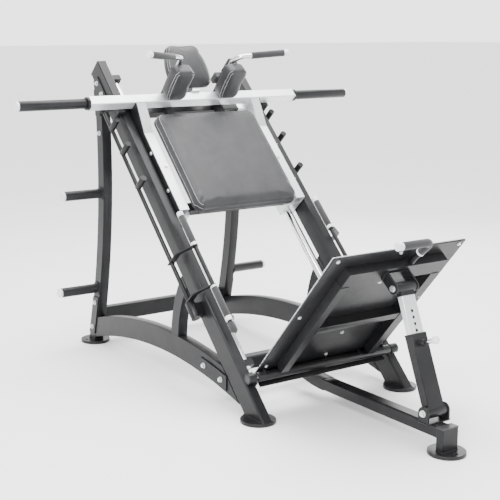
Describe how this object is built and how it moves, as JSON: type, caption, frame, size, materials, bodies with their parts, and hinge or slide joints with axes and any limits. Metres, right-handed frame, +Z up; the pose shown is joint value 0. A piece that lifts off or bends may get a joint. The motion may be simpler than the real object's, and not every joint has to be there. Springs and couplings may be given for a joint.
{
  "type": "hack squat machine",
  "caption": "Plate-loaded hack squat machine: padded sled on inclined chrome guide rods, swinging safety stop levers, plate storage pegs and an adjustable foot plate.",
  "frame": {"origin": "on the floor under the centre of the machine's overall length and width", "axes": "+Z up, -Y towards the foot plate end, +Y towards the high end of the guide rails, +X to the machine's right seen from the foot plate"},
  "size_m": [1.944, 2.2746, 1.5497],
  "materials": {
    "black_powder_coat": "gloss black powder coat on welded steel",
    "silver_powder_coat": "silver powder coat",
    "chrome_plate": "hard chrome plate, polished",
    "zinc_plate": "bright zinc plate",
    "black_rubber": "moulded rubber",
    "black_foam": "closed-cell grip foam, matt",
    "pale_plastic": "pale grey moulded plastic",
    "black_plastic": "black moulded plastic",
    "tread_plate": "bright tread sheet",
    "upholstery": "dark grey artificial leather over foam"
  },
  "bodies": {
    "frame": {"guide_beam_left": "black_powder_coat", "guide_beam_right": "black_powder_coat", "uprights": "black_powder_coat", "base_arches": "black_powder_coat", "braces": "black_powder_coat", "cross_tubes": "black_powder_coat", "centre_rail": "black_powder_coat", "front_post": "black_powder_coat", "foot_discs": "black_powder_coat", "storage_pegs": "black_powder_coat", "peg_caps": "pale_plastic", "end_plugs": "black_plastic", "joint_plates": "black_powder_coat", "guide_rods": "chrome_plate", "rod_brackets": "black_powder_coat", "bumpers": "black_rubber", "shaft_bearings": "black_powder_coat", "pivot_lugs": "black_powder_coat", "pivot_axles": "chrome_plate", "frame_bolts": "zinc_plate"},
    "sled": {"sled_crossbar": "silver_powder_coat", "horn_collars": "black_powder_coat", "weight_horns": "black_powder_coat", "sled_caps": "pale_plastic", "side_members": "silver_powder_coat", "side_plates": "black_powder_coat", "bearing_housings": "silver_powder_coat", "stop_catches": "black_powder_coat", "pad_frame": "black_powder_coat", "pad_boards": "black_plastic", "back_pad": "upholstery", "headrest_pad": "upholstery", "headrest_post": "silver_powder_coat", "shoulder_pads": "upholstery", "shoulder_brackets": "black_powder_coat", "handle_tubes": "chrome_plate", "handle_grips": "black_foam", "sled_bolts": "zinc_plate"},
    "stop_left": {"stop_shaft_left": "black_powder_coat", "stop_lever_left": "black_powder_coat", "stop_grips_left": "black_foam", "stop_caps_left": "pale_plastic"},
    "stop_right": {"stop_shaft_right": "black_powder_coat", "stop_lever_right": "black_powder_coat", "stop_grips_right": "black_foam", "stop_caps_right": "pale_plastic"},
    "footplate": {"foot_tread": "tread_plate", "foot_tray": "black_powder_coat", "foot_frame": "black_powder_coat", "hinge_tube": "black_powder_coat", "lift_handle": "black_powder_coat", "lift_grip": "black_foam", "lift_caps": "pale_plastic", "plate_bolts": "zinc_plate"},
    "strut_outer": {"strut_outer": "black_powder_coat", "strut_bush": "black_plastic"},
    "strut_inner": {"strut_inner": "silver_powder_coat", "strut_head": "black_powder_coat"},
    "pop_pin": {"pop_pin": "chrome_plate", "pop_pin_knob": "pale_plastic"}
  },
  "joints": [
    {"name": "sled_slide", "type": "slide", "parent": "frame", "child": "sled", "axis": [0, 0.6947, 0.7193], "range_m": [-0.48, 0.12]},
    {"name": "stop_left_swing", "type": "hinge", "parent": "frame", "child": "stop_left", "pos_m": [-0.46, 0.78696, 1.19557], "axis": [0, 0.6947, 0.7193], "range_deg": [-35, 8]},
    {"name": "stop_right_swing", "type": "hinge", "parent": "frame", "child": "stop_right", "pos_m": [0.46, 0.78696, 1.19557], "axis": [0, -0.6947, -0.7193], "range_deg": [-35, 8]},
    {"name": "footplate_tilt", "type": "hinge", "parent": "frame", "child": "footplate", "pos_m": [0, -0.33248, 0.17054], "axis": [1, 0, 0], "range_deg": [-4.98, 7.32]},
    {"name": "strut_swing", "type": "hinge", "parent": "frame", "child": "strut_outer", "pos_m": [0, -0.991, 0.148], "axis": [1, 0, 0], "range_deg": [-2.6, 3.7]},
    {"name": "strut_extend", "type": "slide", "parent": "strut_outer", "child": "strut_inner", "axis": [0, 0.3705, 0.9288], "range_m": [-0.0785, 0.0535]},
    {"name": "pop_pin_pull", "type": "slide", "parent": "strut_outer", "child": "pop_pin", "axis": [0, -0.9288, 0.3705], "range_m": [0, 0.01]}
  ],
  "couplings": [
    {"joint": "strut_swing", "follows": "footplate_tilt", "ratio": 0.45779},
    {"joint": "strut_extend", "follows": "footplate_tilt", "m_per_rad": -0.6056}
  ]
}
